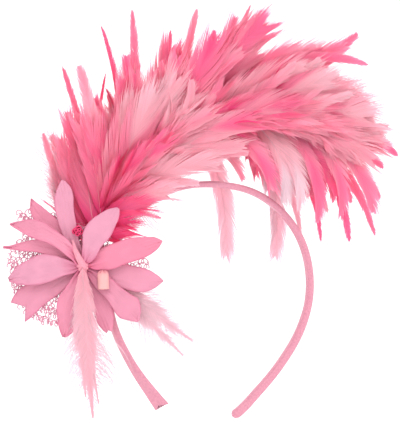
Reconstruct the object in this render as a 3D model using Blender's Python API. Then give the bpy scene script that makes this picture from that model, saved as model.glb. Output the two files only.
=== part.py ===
"""A feather headband: a satin hair band, a flower of cloth petals over looped net, and an arched plume.

Frame: the band stands upright as worn, its C in the XZ plane and its strip's width along Y.
The origin is the inside of the band's top, where it sits on the head. -Y is the front.
Sizes in the tables and constants are millimetres; a mesh is made in metres.
"""

import math
from collections import namedtuple

import bmesh
import bpy
from mathutils import Matrix, Vector

MM = 0.001
GAP = 0.3
UP = Vector((0, 0, 1))
FRONT = Vector((0, -1, 0))

# Hair band: a strip bent to a C, measured along its middle line
STRIP_WIDTH = 6.0
STRIP_THICKNESS = 3.4
STRIP_SIDES = 12
STRIP_ROUNDING = 0.55  # 1 is an ellipse, smaller is squarer
BAND_STEPS = 56
BAND_CENTRE = Vector((0, 0, STRIP_THICKNESS / 2 - 60))
RIGHT_END_TURN = 165.2
LEFT_END_TURN = 160.4

Reach = namedtuple("Reach", "turn reach")
# How far the strip's middle line lies from BAND_CENTRE, at each turn in degrees from the top
BAND_REACH = (
    Reach(0, 60.0),
    Reach(28, 62.0),
    Reach(60, 64.0),
    Reach(90, 64.6),
    Reach(115, 65.2),
    Reach(133, 67.0),
    Reach(151, 72.5),
    Reach(165, 81.0),
)

# Ends of the strip: the right one is rounded, the left one is flared, turned and notched
ROUND_END = 2.6
FLARE_LENGTH = 20.0
FLARE_WIDTH = 9.4
FLARE_THICKNESS = 2.2
FLARE_TWIST = 46.0
NOTCH_DEPTH = 2.8

# Flower: a flat stack that faces a little to the left of the front
FLOWER_FACING = -20.0
FLOWER_FROM_ARM = 15.8
FLOWER_HEIGHT = -50.0
BACKING_THICKNESS = 2.0
BACKING_RIGHT = 21.0
BACKING_UP = 15.0
NET_THICKNESS = 1.0
CLOTH = 1.0
LAYER_STEP = 2.0
KNOT_RADIUS = 3.6
KNOT_RISE = 1.2
BUD_RADIUS = 2.6
BUD_AT = (-2.2, 20.5)

Petal = namedtuple("Petal", "name angle length width layer peak lift cup hook")
# angle is from the right, anticlockwise; layer 0 is the rearmost; peak is where along it a petal is widest;
# lift is how far the tip stands forward, cup how far the edges do, hook how far the tip bends sideways
PETALS = (
    Petal("petal_01", 102, 49, 13, 1, 0.50, 1.5, 0.6, 3.0),
    Petal("petal_02", 131, 51, 15, 0, 0.50, 0.5, 0.4, -2.0),
    Petal("petal_03", 152, 50, 16, 3, 0.46, 4.5, 0.8, 4.0),
    Petal("petal_04", 170, 48, 12, 1, 0.40, 2.0, 0.7, 1.5),
    Petal("petal_05", 193, 43, 17, 2, 0.56, 3.0, 0.8, -1.5),
    Petal("petal_06", 222, 46, 20, 0, 0.62, 0.5, 0.4, 2.0),
    Petal("petal_07", 257, 43, 17, 2, 0.60, 2.5, 0.6, -2.0),
    Petal("petal_08", 292, 41, 14, 0, 0.58, 0.5, 0.4, 1.0),
    Petal("petal_09", 315, 47, 18, 1, 0.60, 1.5, 0.6, -2.5),
    Petal("petal_10", 351, 49, 17, 0, 0.56, 1.0, 0.4, 2.5),
    Petal("petal_11", 20, 50, 16, 2, 0.54, 3.5, 0.8, -2.0),
    Petal("petal_12", 61, 41, 16, 3, 0.56, 5.0, 0.8, 2.0),
    Petal("petal_tab", 329, 20, 10, 2, 0.66, 1.0, 0.2, 0.0),
)
PETAL_ROWS = 8
PETAL_COLUMNS = 4
PETAL_ROOT_SHARE = 0.20

# Net ruff: a lattice cut through in each cell
NET_LEFT, NET_RIGHT, NET_TOP, NET_FOOT = 46.0, 42.0, 39.0, 36.0
NET_CELL = 7.6
NET_STRAND = 1.5
NET_WAVER = 0.9

# Plume: the stem is an arc in the plane of the band, just behind its middle
STEM_START = Vector((-78, 3.2, -40))
STEM_HEADING = 74.0
STEM_SWEEP = 100.0
STEM_ARC_RADIUS = 113.0
STEM_TIE_RADIUS = 1.5
STEM_FULL_RADIUS = 5.0
STEM_STEPS = 18
STEM_SIDES = 8

Lock = namedtuple("Lock", "tied x y z width bow")
# tied is the share of the stem where a lock of feathers starts; x, y and z are its tip, and bow is how far
# its middle swings sideways, anticlockwise
LOCKS = (
    Lock(0.06, -107, 8, 27, 11, 2),
    Lock(0.10, -102, 14, 30, 10, -1),
    Lock(0.09, -97, 8, 67, 11, -5),
    Lock(0.13, -91, -8, 67, 13, -4),
    Lock(0.19, -74, 5, 92, 15, -5),
    Lock(0.22, -69, 14, 64, 13, -3),
    Lock(0.26, -62, -10, 75, 14, -4),
    Lock(0.30, -54, 6, 103, 15, -6),
    Lock(0.34, -42, -14, 73, 18, -3),
    Lock(0.36, -28, 12, 93, 18, -5),
    Lock(0.38, -24, -17, 63, 17, 3),
    Lock(0.40, -15, 3, 106, 15, -6),
    Lock(0.43, -8, -10, 93, 17, -4),
    Lock(0.46, 1, 18, 84, 18, -4),
    Lock(0.48, 20, 5, 111, 17, -7),
    Lock(0.50, 30, -9, 104, 19, -6),
    Lock(0.53, 37, 12, 98, 18, -4),
    Lock(0.54, 42, -18, 76, 20, -3),
    Lock(0.58, 66, 12, 90, 18, -5),
    Lock(0.61, 90, 3, 98, 18, -7),
    Lock(0.62, 59, -14, 80, 18, -3),
    Lock(0.66, 93, -8, 77, 18, -4),
    Lock(0.68, 79, -19, 60, 20, -2),
    Lock(0.70, 106, -9, 46, 24, 3),
    Lock(0.74, 100, 14, 60, 18, 2),
    Lock(0.78, 119, 2, 26, 17, 4),
    Lock(0.76, 115, 14, 18, 16, 4),
    Lock(0.78, 104, -10, -2, 20, 5),
    Lock(0.82, 108, 4, -24, 15, 6),
    Lock(0.80, 87, -10, -27, 18, 5),
    Lock(0.76, 80, 14, -14, 15, 3),
    Lock(0.73, 70, -4, -29, 17, 4),
    Lock(0.68, 64, 16, -27, 14, 3),
    Lock(0.60, 48, 17, -44, 13, 3),
    Lock(0.57, 34, -7, 0, 17, 3),
    Lock(0.46, 16, 17, -45, 13, 3),
    Lock(0.32, 17, -12, 17, 19, 4),
    Lock(0.21, -13, -9, 2, 17, 3),
    Lock(0.17, -40, -10, -9, 15, 3),
    Lock(0.13, -35, -11, -20, 12, 3),
)
Section = namedtuple("Section", "along width thickness")
# A lock's outline: shares of its length, its width, and its thickness in millimetres
LOCK_SECTIONS = (
    Section(0.00, 0.34, 2.4),
    Section(0.16, 0.74, 2.4),
    Section(0.38, 1.00, 2.0),
    Section(0.62, 0.84, 1.6),
    Section(0.84, 0.46, 1.1),
    Section(1.00, 0.06, 0.5),
)

# Loose marabou feathers, in the flower's own directions
DOWN_THICKNESS = 1.4
LOWER_START, LOWER_END = (0.2, -1.0), (10.0, -86.0)
LOWER_END_OUT = 11.6
SIDE_START, SIDE_END = (18.7, -11.6), (68.0, -41.0)
SIDE_OUT = 1.0
LOWER_HALF_WIDTHS = ((0.0, 1.6), (0.12, 4.5), (0.30, 7.5), (0.52, 11.0), (0.66, 11.5), (0.80, 5.0), (1.0, 0.5))
SIDE_HALF_WIDTHS = ((0.0, 0.7), (0.25, 4.0), (0.45, 8.0), (0.65, 8.5), (0.82, 5.5), (1.0, 0.5))


def clear_scene():
    for old in list(bpy.data.objects):
        bpy.data.objects.remove(old, do_unlink=True)


def finish(name, red, green, blue, roughness, metallic=0.0):
    """A plain material in the piece's own colour."""
    material = bpy.data.materials.new(name)
    material.use_nodes = True
    shader = material.node_tree.nodes["Principled BSDF"]
    shader.inputs["Base Color"].default_value = (red, green, blue, 1)
    shader.inputs["Roughness"].default_value = roughness
    shader.inputs["Metallic"].default_value = metallic
    return material


def smooth_between(rows, at):
    """The value at one place in a table of (place, value) rows, eased so that its slope has no break."""
    last = len(rows) - 2
    index = max(i for i in range(last + 1) if rows[i][0] <= at or i == 0)
    (x0, y0), (x1, y1) = rows[index], rows[index + 1]
    before = rows[max(index - 1, 0)]
    after = rows[min(index + 2, last + 1)]
    slope0 = (y1 - before[1]) / (x1 - before[0])
    slope1 = (after[1] - y0) / (after[0] - x0)
    if index == 0:
        slope0 = 0.0 if rows[0][0] == 0 and rows is BAND_REACH else (y1 - y0) / (x1 - x0)
    t = (at - x0) / (x1 - x0)
    span = x1 - x0
    return (
        y0 * (1 + 2 * t) * (1 - t) ** 2
        + slope0 * span * t * (1 - t) ** 2
        + y1 * t * t * (3 - 2 * t)
        + slope1 * span * t * t * (t - 1)
    )


def object_from(name, bm, material, flat_above=40):
    """Turns a bmesh in millimetres into a named object in metres, shaded smooth where it is round."""
    bmesh.ops.scale(bm, vec=(MM, MM, MM), verts=bm.verts)
    bmesh.ops.recalc_face_normals(bm, faces=bm.faces)
    mesh = bpy.data.meshes.new(name)
    bm.to_mesh(mesh)
    bm.free()
    mesh.materials.append(material)
    mesh.shade_smooth()
    mesh.set_sharp_from_angle(angle=math.radians(flat_above))
    piece = bpy.data.objects.new(name, mesh)
    bpy.context.scene.collection.objects.link(piece)
    return piece


def skin_rings(bm, rings):
    """Joins rings of points, in order, into one closed skin with a face at each end."""
    made = [[bm.verts.new(point) for point in ring] for ring in rings]
    count = len(made[0])
    for here, there in zip(made, made[1:]):
        for i in range(count):
            j = (i + 1) % count
            bm.faces.new((here[i], here[j], there[j], there[i]))
    bm.faces.new(list(reversed(made[0])))
    bm.faces.new(made[-1])


def band_point(turn):
    """A point of the strip's middle line; turn is in degrees from the top, positive to the right."""
    reach = smooth_between(BAND_REACH, abs(turn))
    angle = math.radians(turn)
    return BAND_CENTRE + Vector((reach * math.sin(angle), 0, reach * math.cos(angle)))


def rounded_strip(width, thickness):
    """The strip's cross-section as (across, outward) pairs: a flat oval."""
    points = []
    for i in range(STRIP_SIDES):
        angle = 2 * math.pi * (i + 0.5) / STRIP_SIDES
        across, outward = math.cos(angle), math.sin(angle)
        points.append(
            (
                width / 2 * math.copysign(abs(across) ** STRIP_ROUNDING, across),
                thickness / 2 * math.copysign(abs(outward) ** STRIP_ROUNDING, outward),
            )
        )
    return points


def make_hair_band(material):
    turns = [
        -LEFT_END_TURN + (LEFT_END_TURN + RIGHT_END_TURN) * i / BAND_STEPS
        for i in range(BAND_STEPS + 1)
    ]
    places = [band_point(turn) for turn in turns]
    run = [0.0]
    for here, there in zip(places, places[1:]):
        run.append(run[-1] + (there - here).length)
    bm = bmesh.new()
    rings = []
    for i, place in enumerate(places):
        ahead = places[min(i + 1, BAND_STEPS)] - places[max(i - 1, 0)]
        ahead.normalize()
        outward = FRONT.cross(ahead).normalized()
        flare = max(0.0, 1 - run[i] / FLARE_LENGTH) ** 1.6
        width = STRIP_WIDTH + (FLARE_WIDTH - STRIP_WIDTH) * flare
        thickness = STRIP_THICKNESS + (FLARE_THICKNESS - STRIP_THICKNESS) * flare
        turned = Matrix.Rotation(math.radians(FLARE_TWIST) * flare, 3, ahead)
        across_way, outward_way = turned @ FRONT, turned @ outward
        ring = []
        for across, out in rounded_strip(width, thickness):
            notch = NOTCH_DEPTH * (1 - abs(across) / (width / 2)) if i == 0 else 0.0
            ring.append(place + across_way * across + outward_way * out + ahead * notch)
        rings.append(ring)
    end, ahead = places[-1], (places[-1] - places[-2]).normalized()
    outward = FRONT.cross(ahead).normalized()
    for share in (0.5, 0.8, 0.96):
        size = math.sqrt(1 - share * share)
        rings.append(
            [
                end + ahead * ROUND_END * share + FRONT * across * size + outward * out * size
                for across, out in rounded_strip(STRIP_WIDTH, STRIP_THICKNESS)
            ]
        )
    skin_rings(bm, rings)
    return object_from("hair_band", bm, material)


def flower_axes():
    facing = math.radians(FLOWER_FACING)
    out = Vector((math.sin(facing), -math.cos(facing), 0))
    right = Vector((math.cos(facing), math.sin(facing), 0))
    return right, out


def flower_place(right, up, out):
    """A point given in the flower's own directions; out is measured from the back of its backing."""
    right_way, out_way = flower_axes()
    arm = band_point(-90)
    seat = Vector((arm.x, -STRIP_WIDTH / 2, FLOWER_HEIGHT)) + out_way * GAP
    origin = seat - right_way * FLOWER_FROM_ARM
    return origin + right_way * right + UP * up + out_way * out


NET_OUT = BACKING_THICKNESS + GAP
PETALS_OUT = NET_OUT + NET_THICKNESS + GAP
KNOT_TOP = PETALS_OUT + 3 * LAYER_STEP + CLOTH + KNOT_RISE
LOWER_OUT = KNOT_TOP + GAP + DOWN_THICKNESS / 2


def make_flower_backing(material):
    bm = bmesh.new()
    bmesh.ops.create_cone(
        bm, cap_ends=True, segments=24, radius1=1, radius2=1, depth=BACKING_THICKNESS
    )
    for vert in bm.verts:
        right, up, out = vert.co
        vert.co = flower_place(right * BACKING_RIGHT, up * BACKING_UP, out + BACKING_THICKNESS / 2)
    return object_from("flower_backing", bm, material)


def make_net_ruff(material):
    """A lattice of square cells, cut to an oval and shaken a little, with a hole through each cell."""
    across = math.ceil((NET_LEFT + NET_RIGHT) / NET_CELL) + 1
    upward = math.ceil((NET_TOP + NET_FOOT) / NET_CELL) + 1
    bm = bmesh.new()
    bmesh.ops.create_grid(
        bm, x_segments=across, y_segments=upward, size=0.5,
        matrix=Matrix.Diagonal((across * NET_CELL, upward * NET_CELL, 1, 1)),
    )
    outside = []
    for face in bm.faces:
        middle = face.calc_center_median()
        reach_x = NET_RIGHT if middle.x > 0 else NET_LEFT
        reach_y = NET_TOP if middle.y > 0 else NET_FOOT
        if (middle.x / reach_x) ** 2 + (middle.y / reach_y) ** 2 > 1:
            outside.append(face)
    bmesh.ops.delete(bm, geom=outside, context="FACES")
    for vert in bm.verts:
        row = vert.co.y / NET_CELL
        vert.co.x += 0.25 * NET_CELL * math.cos(math.pi * row)
        vert.co.x += NET_WAVER * math.sin(1.7 * vert.co.y + 0.6 * vert.co.x)
        vert.co.y += NET_WAVER * math.sin(1.3 * vert.co.x + 0.9 * vert.co.y)
    cells = list(bm.faces)
    bmesh.ops.inset_individual(bm, faces=cells, thickness=NET_STRAND / 2, use_even_offset=True)
    bmesh.ops.delete(bm, geom=cells, context="FACES")
    sheet = list(bm.faces)
    made = bmesh.ops.extrude_face_region(bm, geom=sheet, use_keep_orig=True)
    for item in made["geom"]:
        if isinstance(item, bmesh.types.BMVert):
            item.co.z += NET_THICKNESS
    for vert in bm.verts:
        vert.co = flower_place(vert.co.x, vert.co.y, vert.co.z + NET_OUT)
    return object_from("net_ruff", bm, material)


def petal_half_width(petal, along):
    power = math.log(0.5) / math.log(petal.peak)
    leaf = max(math.sin(math.pi * along**power), 0.0) ** 0.75
    root = PETAL_ROOT_SHARE * max(0.0, 1 - along / 0.5)
    return petal.width / 2 * max(leaf, root, 0.03)


def make_petal(petal, material):
    """One cloth petal: a pointed leaf from the knot outward, creased along its middle."""
    bm = bmesh.new()
    angle = math.radians(petal.angle)
    outward = (math.cos(angle), math.sin(angle))
    sideways = (-math.sin(angle), math.cos(angle))
    base = PETALS_OUT + petal.layer * LAYER_STEP
    start = KNOT_RADIUS + GAP
    grids = []
    for thick in (0.0, CLOTH):
        grid = []
        for row in range(PETAL_ROWS + 1):
            along = row / PETAL_ROWS
            half = petal_half_width(petal, along)
            reach = start + (petal.length - start) * along
            line = []
            for column in range(PETAL_COLUMNS + 1):
                side = 2 * column / PETAL_COLUMNS - 1
                across = side * half + petal.hook * along * along
                right = outward[0] * reach + sideways[0] * across
                up = outward[1] * reach + sideways[1] * across
                cup = petal.cup * abs(side) ** 1.5 * math.sin(math.pi * along)
                out = base + thick + petal.lift * along * along + cup
                line.append(bm.verts.new(flower_place(right, up, out)))
            grid.append(line)
        grids.append(grid)
    back, front = grids
    for row in range(PETAL_ROWS):
        for column in range(PETAL_COLUMNS):
            for grid in grids:
                bm.faces.new(
                    (
                        grid[row][column],
                        grid[row][column + 1],
                        grid[row + 1][column + 1],
                        grid[row + 1][column],
                    )
                )
        for column in (0, PETAL_COLUMNS):
            bm.faces.new(
                (back[row][column], back[row + 1][column], front[row + 1][column], front[row][column])
            )
    for row in (0, PETAL_ROWS):
        for column in range(PETAL_COLUMNS):
            bm.faces.new(
                (back[row][column], back[row][column + 1], front[row][column + 1], front[row][column])
            )
    return object_from(petal.name, bm, material)


def make_flower_knot(material):
    bm = bmesh.new()
    depth = KNOT_TOP - PETALS_OUT
    bmesh.ops.create_cone(
        bm, cap_ends=True, segments=16, radius1=KNOT_RADIUS, radius2=KNOT_RADIUS, depth=depth
    )
    rim = [edge for edge in bm.edges if all(v.co.z > 0 for v in edge.verts)]
    bmesh.ops.bevel(
        bm, geom=rim, offset=0.8, offset_type="OFFSET", segments=2, profile=0.5,
        affect="EDGES", material=-1,
    )
    for vert in bm.verts:
        vert.co = flower_place(vert.co.x, vert.co.y, vert.co.z + PETALS_OUT + depth / 2)
    return object_from("flower_knot", bm, material)


def make_flower_bud(material):
    """A small crumpled ball that rests on the front of the petal behind it."""
    bm = bmesh.new()
    bmesh.ops.create_icosphere(bm, subdivisions=2, radius=BUD_RADIUS)
    seat = PETALS_OUT + LAYER_STEP + CLOTH + GAP + 0.6
    for vert in bm.verts:
        crumple = 1 + 0.08 * math.sin(3 * vert.co.x + 2 * vert.co.y) * math.cos(2.5 * vert.co.z)
        right, up, out = vert.co * crumple
        vert.co = flower_place(BUD_AT[0] + right, BUD_AT[1] + up * 1.2, seat + BUD_RADIUS + out * 0.9)
    return object_from("flower_bud", bm, material)


def stem_heading(share):
    return math.radians(STEM_HEADING - STEM_SWEEP * share)


def stem_point(share):
    start, here = stem_heading(0), stem_heading(share)
    return STEM_START + STEM_ARC_RADIUS * Vector(
        (math.sin(start) - math.sin(here), 0, math.cos(here) - math.cos(start))
    )


def stem_along(share):
    here = stem_heading(share)
    return Vector((math.cos(here), 0, math.sin(here)))


def stem_radius(share):
    """Thin where it is tied behind the flower and at its tip, full in between."""
    full = min(1.0, max(0.0, share - 0.03) / 0.12, (1.02 - share) / 0.25)
    return STEM_TIE_RADIUS + (STEM_FULL_RADIUS - STEM_TIE_RADIUS) * full


def make_stem(bm):
    rings = []
    for i in range(STEM_STEPS + 1):
        share = i / STEM_STEPS
        sideways = FRONT.cross(stem_along(share))
        radius = stem_radius(share)
        rings.append(
            [
                stem_point(share)
                + sideways * radius * math.cos(2 * math.pi * (k + 0.5) / STEM_SIDES)
                + FRONT * 0.8 * radius * math.sin(2 * math.pi * (k + 0.5) / STEM_SIDES)
                for k in range(STEM_SIDES)
            ]
        )
    skin_rings(bm, rings)


def make_lock(bm, lock):
    """One lock of feathers: a flat pointed strip from inside the stem to its tip."""
    root = stem_point(lock.tied)
    tip = Vector((lock.x, lock.y, lock.z))
    chord = tip - root
    sideways = FRONT.cross(chord).normalized()
    leave = (chord.normalized() + stem_along(lock.tied) * 0.5).normalized()
    control = root + leave * chord.length * 0.5 - sideways * lock.bow
    control.y = lock.y
    rings = []
    for section in LOCK_SECTIONS:
        t = section.along
        middle = root * (1 - t) ** 2 + control * 2 * t * (1 - t) + tip * t * t
        ahead = (control - root) * (1 - t) + (tip - control) * t
        across = FRONT.cross(ahead).normalized()
        through = ahead.cross(across).normalized()
        half_width = lock.width * section.width / 2
        half_thickness = section.thickness / 2
        rings.append(
            [
                middle + across * half_width,
                middle + through * half_thickness,
                middle - across * half_width,
                middle - through * half_thickness,
            ]
        )
    skin_rings(bm, rings)


def closed_mesh(name, build, *details):
    """A guide object, still in millimetres, made by one of the builders above."""
    bm = bmesh.new()
    build(bm, *details)
    bmesh.ops.triangulate(bm, faces=bm.faces)
    bmesh.ops.recalc_face_normals(bm, faces=bm.faces)
    mesh = bpy.data.meshes.new(name)
    bm.to_mesh(mesh)
    bm.free()
    guide = bpy.data.objects.new(name, mesh)
    bpy.context.scene.collection.objects.link(guide)
    return guide


def make_plume(material):
    """The stem with every lock fused to it, one Boolean union after another."""
    plume = closed_mesh("plume", make_stem)
    for number, lock in enumerate(LOCKS):
        guide = closed_mesh(f"lock_guide_{number:02d}", make_lock, lock)
        join = plume.modifiers.new("join", "BOOLEAN")
        join.operation = "UNION"
        join.solver = "EXACT"
        join.object = guide
        bpy.context.view_layer.update()
        fused = bpy.data.meshes.new_from_object(
            plume.evaluated_get(bpy.context.evaluated_depsgraph_get())
        )
        plume.modifiers.clear()
        plume.data = fused
        bpy.data.objects.remove(guide, do_unlink=True)
    plume.data.name = "plume"
    plume.data.transform(Matrix.Scale(MM, 4))
    plume.data.materials.clear()
    plume.data.materials.append(material)
    plume.data.shade_smooth()
    plume.data.set_sharp_from_angle(angle=math.radians(30))
    return plume


def make_marabou(name, start, end, outs, half_widths, material):
    """A loose fluffy feather as a flat pointed strip in the plane of the flower."""
    bm = bmesh.new()
    way = Vector((end[0] - start[0], end[1] - start[1])).normalized()
    side = Vector((-way.y, way.x))
    rings = []
    for along, half in half_widths:
        right = start[0] + (end[0] - start[0]) * along
        up = start[1] + (end[1] - start[1]) * along
        out = outs[0] + (outs[1] - outs[0]) * along
        thick = DOWN_THICKNESS / 2 * (1 - 0.6 * along)
        rings.append(
            [
                flower_place(right + side.x * half, up + side.y * half, out),
                flower_place(right, up, out + thick),
                flower_place(right - side.x * half, up - side.y * half, out),
                flower_place(right, up, out - thick),
            ]
        )
    skin_rings(bm, rings)
    return object_from(name, bm, material)


def main():
    clear_scene()
    satin = finish("satin_ribbon", 0.85, 0.35, 0.47, 0.38)
    felt = finish("felt_backing", 0.80, 0.28, 0.42, 0.95)
    netting = finish("looped_net", 0.62, 0.20, 0.32, 0.80)
    cloth = finish("petal_cloth", 0.88, 0.36, 0.52, 0.60)
    bud_cloth = finish("bud_cloth", 0.80, 0.06, 0.18, 0.60)
    hackle = finish("hackle_feather", 0.95, 0.22, 0.33, 0.70)
    down = finish("marabou_down", 0.90, 0.50, 0.56, 0.90)
    make_hair_band(satin)
    make_flower_backing(felt)
    make_net_ruff(netting)
    for petal in PETALS:
        make_petal(petal, cloth)
    make_flower_knot(cloth)
    make_flower_bud(bud_cloth)
    make_plume(hackle)
    make_marabou(
        "marabou_lower", LOWER_START, LOWER_END, (LOWER_OUT, LOWER_END_OUT), LOWER_HALF_WIDTHS, down
    )
    make_marabou("marabou_side", SIDE_START, SIDE_END, (SIDE_OUT, SIDE_OUT), SIDE_HALF_WIDTHS, down)


main()
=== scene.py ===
"""The look of a feather headband: satin band, cloth flower over looped net, hackle plume and marabou.

Sizes in the tables and constants are millimetres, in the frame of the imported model: the origin is the inside
of the band's top, +Z is up and -Y is the front. A mesh is made in metres.
"""

import math
from collections import namedtuple

import bmesh
import bpy
import numpy as np
from bpy.props import FloatProperty, IntProperty, PointerProperty
from mathutils import Matrix, Vector


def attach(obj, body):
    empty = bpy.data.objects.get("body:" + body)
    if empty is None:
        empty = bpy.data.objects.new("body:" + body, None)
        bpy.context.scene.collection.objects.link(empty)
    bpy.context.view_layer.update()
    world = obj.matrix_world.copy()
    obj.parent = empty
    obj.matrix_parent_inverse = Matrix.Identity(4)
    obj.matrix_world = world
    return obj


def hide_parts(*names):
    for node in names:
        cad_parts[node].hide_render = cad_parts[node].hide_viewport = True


bl_info = {
    "name": "Feather headband",
    "version": (1, 0, 0),
    "blender": (4, 5, 0),
    "location": "View3D > Sidebar > Headband",
    "description": "Makes the pieces of a hair band with a cloth flower and a feather plume",
    "category": "Object",
}

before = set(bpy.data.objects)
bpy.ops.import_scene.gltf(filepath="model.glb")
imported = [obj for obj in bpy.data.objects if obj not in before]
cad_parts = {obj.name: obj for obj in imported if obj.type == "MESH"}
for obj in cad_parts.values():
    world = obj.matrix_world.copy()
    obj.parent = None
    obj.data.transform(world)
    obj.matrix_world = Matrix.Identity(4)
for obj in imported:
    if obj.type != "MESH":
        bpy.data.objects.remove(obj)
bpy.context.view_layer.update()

MM = 0.001
UP = np.array((0.0, 0.0, 1.0))
FRONT = np.array((0.0, -1.0, 0.0))
BODY = "root"


def table(kind, *rows):
    """Rows of plain values as named rows of one kind."""
    return tuple(kind(*row) for row in rows)


# Band: the strip's middle line, as reaches from a centre at turns in degrees from the top
STRIP_WIDTH = 6.0
STRIP_THICKNESS = 3.4
BAND_CENTRE = Vector((0, 0, STRIP_THICKNESS / 2 - 60))
Reach = namedtuple("Reach", "turn reach")
BAND_REACH = table(
    Reach,
    (0, 60.0),
    (28, 62.0),
    (60, 64.0),
    (90, 64.6),
    (115, 65.2),
    (133, 67.0),
    (151, 72.5),
    (165, 81.0),
)
RIGHT_END_TURN = 165.2
LEFT_END_TURN = 160.4
BAND_SIDES = 20
RIBBON = 0.3
# Towards its flared, notched end the strip widens, thins, twists in degrees and moves outwards
FLARE_LENGTH = 66.0
FLARE_WIDTH = 9.4
FLARE_THICKNESS = 2.2
FLARE_TWIST = 46.0
FLARE_OUT = 1.1
NOTCH_DEPTH = 2.8
NOTCH_LENGTH = 1.2
# Towards its round end it swells inwards
SWELL_LENGTH = 80.0
SWELL = 1.6
ROUND_END = 2.6

# Flower: a flat stack that faces a little to the left of the front
FLOWER_FACING = math.radians(-20.0)
FLOWER_RIGHT = np.array((math.cos(FLOWER_FACING), math.sin(FLOWER_FACING), 0.0))
FLOWER_OUT = np.array((math.sin(FLOWER_FACING), -math.cos(FLOWER_FACING), 0.0))
FLOWER_FROM_ARM = 15.8
FLOWER_HEIGHT = -50.0
GAP = 0.3
BACKING_THICKNESS = 2.0
BACKING_HALF_WIDTH = 21
BACKING_HALF_HEIGHT = 15
NET_OUT = BACKING_THICKNESS + GAP
NET_THICKNESS = 1.0
PETALS_OUT = NET_OUT + NET_THICKNESS + GAP
LAYER_STEP = 2.0
CLOTH = 0.7
KNOT_TOP = 11.8

Ridge = namedtuple("Ridge", "right up out radius")
KNOT = table(
    Ridge,
    (0, 0, PETALS_OUT + 0.2, 3.0),
    (0, 0, 8.0, 3.4),
    (0, 0, 10.6, 3.0),
    (0, 0, KNOT_TOP, 1.2),
)
RIDGE = table(
    Ridge,
    (-6.5, 15.0, 9.5, 0.5),
    (-4.6, 9.0, 11.0, 1.3),
    (-2.0, 4.0, 11.2, 1.8),
    (0.5, 0.0, 10.8, 2.0),
    (2.0, -5.0, 9.6, 0.6),
)

# A petal's two edges, clockwise and counter-clockwise of its angle, are given at these shares of its length
EDGE_AT = (0.08, 0.20, 0.35, 0.50, 0.65, 0.80, 0.92, 1.00)
Petal = namedtuple("Petal", "node angle length layer lift cup notch tone wrinkle clockwise counter")
# layer counts up towards the front, notch is how far a forked end is cut in, and tone runs from rose to mauve
PETALS = table(
    Petal,
    ("petal_01", 105, 52, 1, 1.5, 0.6, 0, 0.9, 0.6,
     (-2, -1.5, -1, -1.5, -2.5, -3.5, -2.5, 0), (2.5, 4.5, 7, 8.5, 9, 7.5, 4.5, 1)),
    ("petal_02", 130, 50, 0, 0.5, 0.4, 0, 0.2, 0.5,
     (-2.5, -4, -5, -5.5, -4.5, -2.5, -1, 0), (2, 2, 3, 4, 5.5, 6, 3.5, 0)),
    ("petal_03", 152, 49, 3, 4.5, 0.8, 0, 0.3, 0.9,
     (-4, -7.5, -9.5, -10.5, -10.5, -8.5, -4, 0), (0, -1, -1.5, -1, 0, 1, 0.8, 0.3)),
    ("petal_04", 169, 48, 1, 2.0, 0.7, 0, 0.3, 0.45,
     (-3.5, -7, -9, -9.5, -8.5, -4.5, -1.4, -0.5), (1.5, 0, -1, -1.5, -1, -0.5, 0.2, 0.5)),
    ("petal_05", 193, 44, 2, 3.0, 0.8, 0, 1.0, 0.9,
     (-4, -7.5, -10, -11, -10, -8, -4.5, -1), (3, 3.5, 4.5, 5.5, 6, 4.5, 2.5, 0.5)),
    ("petal_06", 219, 47, 0, 0.5, 0.4, 5.5, 0.6, 0.8,
     (-4, -7, -8.5, -9.5, -11, -11.5, -10, -8), (2.5, 4, 4.5, 4.5, 5, 5.5, 6, 6)),
    ("petal_07", 257, 43, 2, 2.5, 0.6, 0, 0.2, 0.9,
     (-3, -5, -7, -8.5, -8, -5.5, -2.5, 0), (4, 6.5, 7.5, 7.5, 7, 5.5, 4, 1)),
    ("petal_08", 296, 42, 0, 0.5, 0.4, 1.5, 0.4, 0.6,
     (-3, -4.5, -5, -5, -5, -5.5, -4.5, -3), (3, 5.5, 7, 7, 6, 5, 2.5, 0)),
    ("petal_09", 317, 46, 1, 1.5, 0.6, 0, 0.5, 0.8,
     (-2, -3, -3.5, -4, -5, -5.5, -2.5, 0), (3.5, 6, 7, 7.5, 8, 9.5, 6, 1)),
    ("petal_10", 352, 48, 0, 1.0, 0.4, 0, 0.6, 0.5,
     (-3.5, -6, -8, -9, -9.5, -8, -4.5, 0), (3.5, 5, 6, 6, 5.5, 4.5, 2.5, 0)),
    ("petal_11", 20, 49, 2, 3.5, 0.8, 0, -0.3, 0.8,
     (-4, -6, -7, -6.5, -6, -5.5, -3.5, 0), (4, 6.5, 7.5, 7.5, 7, 5.5, 3.5, 0)),
    ("petal_12", 60, 40, 3, 5.0, 0.8, 0, 1.0, 0.5,
     (-3, -3.5, -3.5, -4, -4, -3.5, -2, 0), (4, 7.5, 10, 10.5, 10, 7.5, 4.5, 1)),
    ("petal_tab", 329, 20, 2, 1.5, 0.2, 0, 0, 0.2,
     (-3, -4.6, -5.2, -5.2, -5.2, -5.2, -5.2, -5), (3, 4.6, 5.2, 5.2, 5.2, 5.2, 5.2, 5)),
)
PETAL_ROOT = 2.4
TAB_ROOT = 9.0
PETAL_ROOT_HALF = 1.5
# The tab is rolled to this radius across, and its length runs at this angle
TAB_ROLL = 3.0
TAB_ANGLE = math.radians(275)
TAB_DYE = "#DFA3A2"

PETAL_DYES = ("#D6849B", "#CF8EA4")
# The colour that paints shade into a petal's gathered root and darkens its very edges
PETAL_ROOT_SHADE_AND_EDGE = "#C8507C"
BUD_RIGHT, BUD_UP = -3.4, 20.3
# The bud is a strip of cloth wound up this many times, highest at its middle
BUD_TURNS = 2.6
BUD_CLOTH = 0.8
BUD_EYE = 0.3
BUD_SPREAD = 2.5
BUD_MIDDLE, BUD_FALL = 4.4, 2.2

# Plume: its stem is an arc just behind the band's middle plane
STEM_START = np.array((-78.0, 3.2, -40.0))
STEM_HEADING = 74.0
STEM_SWEEP = 100.0
STEM_ARC_RADIUS = 113.0
STEM_RADIUS = 1.6
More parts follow.
